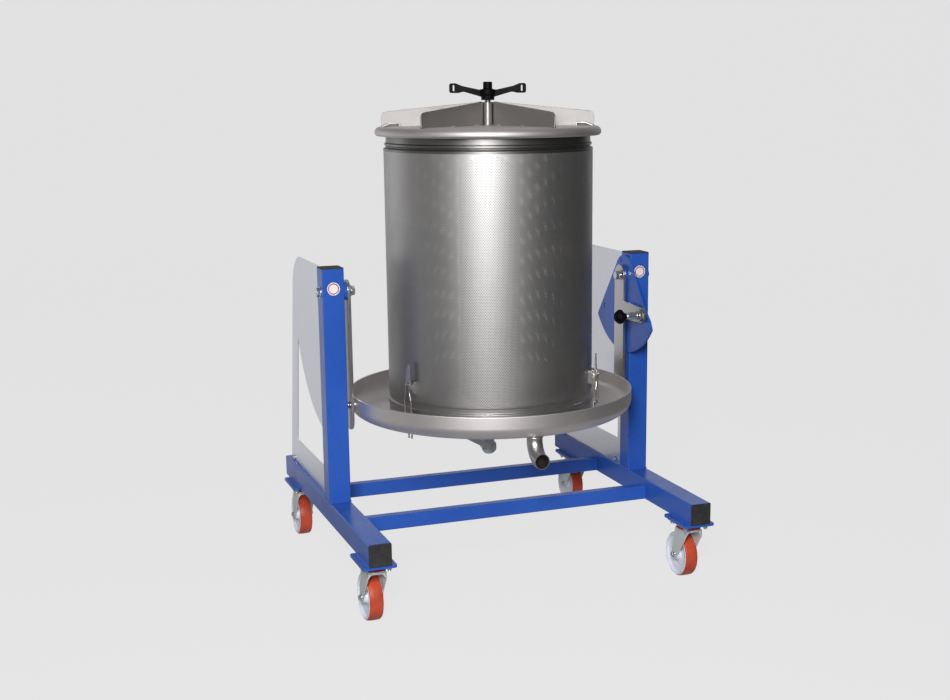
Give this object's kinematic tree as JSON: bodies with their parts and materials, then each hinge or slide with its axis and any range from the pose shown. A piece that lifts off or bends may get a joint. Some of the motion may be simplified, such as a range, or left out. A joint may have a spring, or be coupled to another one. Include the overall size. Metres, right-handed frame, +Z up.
{
  "type": "basket wine press",
  "caption": "Tilting basket wine press: perforated steel basket with screw-down lid and rubber membrane in a round drip tray, hung between two posts of a wheeled frame.",
  "frame": {"origin": "on the floor, under the middle of the frame's bounding box", "axes": "+Z up, +X along the crossbars towards the index plunger's side, -Y towards the juice spout"},
  "size_m": [0.996, 0.9566, 1.365],
  "materials": {
    "blue_paint": "semi-gloss blue powder coat",
    "black_plastic": "black moulded",
    "guard_sheet": "smooth pale grey sheet",
    "stainless": "satin stainless steel",
    "perforated_stainless": "finely perforated satin stainless sheet",
    "zinc": "bright zinc plate",
    "white_hub": "white polyamide",
    "red_tread": "red polyurethane",
    "rubber": "black rubber",
    "gasket": "pale rubber"
  },
  "bodies": {
    "frame": {"left_leg": "blue_paint", "left_front_leg_cap": "black_plastic", "left_rear_leg_cap": "black_plastic", "left_post": "blue_paint", "left_post_cap": "black_plastic", "left_guard": "guard_sheet", "left_pivot_bolt": "zinc", "right_leg": "blue_paint", "right_front_leg_cap": "black_plastic", "right_rear_leg_cap": "black_plastic", "right_post": "blue_paint", "right_post_cap": "black_plastic", "right_guard": "guard_sheet", "right_pivot_bolt": "zinc", "front_crossbar": "blue_paint", "rear_crossbar": "blue_paint", "left_pivot_boss": "blue_paint", "index_sector": "blue_paint", "front_left_caster_plate": "zinc", "front_right_caster_plate": "zinc", "rear_left_caster_plate": "zinc", "rear_right_caster_plate": "zinc"},
    "press": {"left_arm": "stainless", "right_arm": "stainless", "plunger_sleeve": "zinc", "drip_tray": "stainless", "spout": "stainless", "water_inlet": "zinc", "basket": "perforated_stainless", "membrane": "rubber", "tie_rod": "stainless"},
    "index_plunger": {"plunger_pin": "zinc", "plunger_knob": "black_plastic"},
    "water_valve": {"valve_lever": "zinc"},
    "lid_assembly": {"lid": "stainless", "lid_ribs": "stainless", "lid_gasket": "gasket"},
    "lid_handle": {"handle": "black_plastic"},
    "left_latch": {"left_latch_lever": "stainless"},
    "left_bail": {"left_latch_bail": "stainless"},
    "right_latch": {"right_latch_lever": "stainless"},
    "right_bail": {"right_latch_bail": "stainless"},
    "rear_latch": {"rear_latch_lever": "stainless"},
    "rear_bail": {"rear_latch_bail": "stainless"},
    "front_left_caster": {"front_left_fork": "zinc", "front_left_axle": "zinc"},
    "front_left_caster_wheel": {"front_left_wheel": "white_hub", "front_left_tread": "red_tread"},
    "front_right_caster": {"front_right_fork": "zinc", "front_right_axle": "zinc"},
    "front_right_caster_wheel": {"front_right_wheel": "white_hub", "front_right_tread": "red_tread"},
    "rear_left_caster": {"rear_left_fork": "zinc", "rear_left_axle": "zinc"},
    "rear_left_caster_wheel": {"rear_left_wheel": "white_hub", "rear_left_tread": "red_tread"},
    "rear_right_caster": {"rear_right_fork": "zinc", "rear_right_axle": "zinc"},
    "rear_right_caster_wheel": {"rear_right_wheel": "white_hub", "rear_right_tread": "red_tread"}
  },
  "joints": [
    {"name": "tilt", "type": "hinge", "parent": "frame", "child": "press", "pos_m": [0, -0.053, 0.815], "axis": [1, 0, 0], "range_deg": [0, 104]},
    {"name": "plunger_pull", "type": "slide", "parent": "press", "child": "index_plunger", "axis": [-1, 0, 0], "range_m": [0, 0.01]},
    {"name": "water_valve_turn", "type": "hinge", "parent": "press", "child": "water_valve", "pos_m": [-0.007, -0.0845, 0.345], "axis": [0, 1, 0], "range_deg": [-90, 0]},
    {"name": "lid_lift", "type": "slide", "parent": "press", "child": "lid_assembly", "axis": [0, 0, 1], "range_m": [0, 0.25]},
    {"name": "handle_turn", "type": "hinge", "parent": "lid_assembly", "child": "lid_handle", "pos_m": [0, -0.056, 1.34], "axis": [0, 0, 1], "continuous": true},
    {"name": "left_latch_open", "type": "hinge", "parent": "press", "child": "left_latch", "pos_m": [-0.27563, -0.1747, 0.56], "axis": [0.3955, -0.9184, 0], "range_deg": [0, 110]},
    {"name": "left_bail_swing", "type": "hinge", "parent": "left_latch", "child": "left_bail", "pos_m": [-0.28297, -0.17787, 0.57], "axis": [0.3955, -0.9184, 0], "range_deg": [-110, 0]},
    {"name": "right_latch_open", "type": "hinge", "parent": "press", "child": "right_latch", "pos_m": [0.24061, -0.23535, 0.56], "axis": [0.5976, 0.8018, 0], "range_deg": [0, 110]},
    {"name": "right_bail_swing", "type": "hinge", "parent": "right_latch", "child": "right_bail", "pos_m": [0.24703, -0.24013, 0.57], "axis": [0.5976, 0.8018, 0], "range_deg": [-110, 0]},
    {"name": "rear_latch_open", "type": "hinge", "parent": "press", "child": "rear_latch", "pos_m": [0.03501, 0.24205, 0.56], "axis": [-0.9932, 0.1167, 0], "range_deg": [0, 110]},
    {"name": "rear_bail_swing", "type": "hinge", "parent": "rear_latch", "child": "rear_bail", "pos_m": [0.03595, 0.25, 0.57], "axis": [-0.9932, 0.1167, 0], "range_deg": [-110, 0]},
    {"name": "front_left_swivel", "type": "hinge", "parent": "frame", "child": "front_left_caster", "pos_m": [-0.453, -0.409, 0.15], "axis": [0, 0, 1], "continuous": true},
    {"name": "front_left_roll", "type": "hinge", "parent": "front_left_caster", "child": "front_left_caster_wheel", "pos_m": [-0.453, -0.371, 0.0625], "axis": [1, 0, 0], "continuous": true},
    {"name": "front_right_swivel", "type": "hinge", "parent": "frame", "child": "front_right_caster", "pos_m": [0.453, -0.409, 0.15], "axis": [0, 0, 1], "continuous": true},
    {"name": "front_right_roll", "type": "hinge", "parent": "front_right_caster", "child": "front_right_caster_wheel", "pos_m": [0.453, -0.371, 0.0625], "axis": [1, 0, 0], "continuous": true},
    {"name": "rear_left_swivel", "type": "hinge", "parent": "frame", "child": "rear_left_caster", "pos_m": [-0.453, 0.377, 0.15], "axis": [0, 0, 1], "continuous": true},
    {"name": "rear_left_roll", "type": "hinge", "parent": "rear_left_caster", "child": "rear_left_caster_wheel", "pos_m": [-0.453, 0.415, 0.0625], "axis": [1, 0, 0], "continuous": true},
    {"name": "rear_right_swivel", "type": "hinge", "parent": "frame", "child": "rear_right_caster", "pos_m": [0.453, 0.377, 0.15], "axis": [0, 0, 1], "continuous": true},
    {"name": "rear_right_roll", "type": "hinge", "parent": "rear_right_caster", "child": "rear_right_caster_wheel", "pos_m": [0.453, 0.415, 0.0625], "axis": [1, 0, 0], "continuous": true}
  ],
  "couplings": [
    {"joint": "left_bail_swing", "follows": "left_latch_open", "ratio": -1},
    {"joint": "right_bail_swing", "follows": "right_latch_open", "ratio": -1},
    {"joint": "rear_bail_swing", "follows": "rear_latch_open", "ratio": -1}
  ]
}
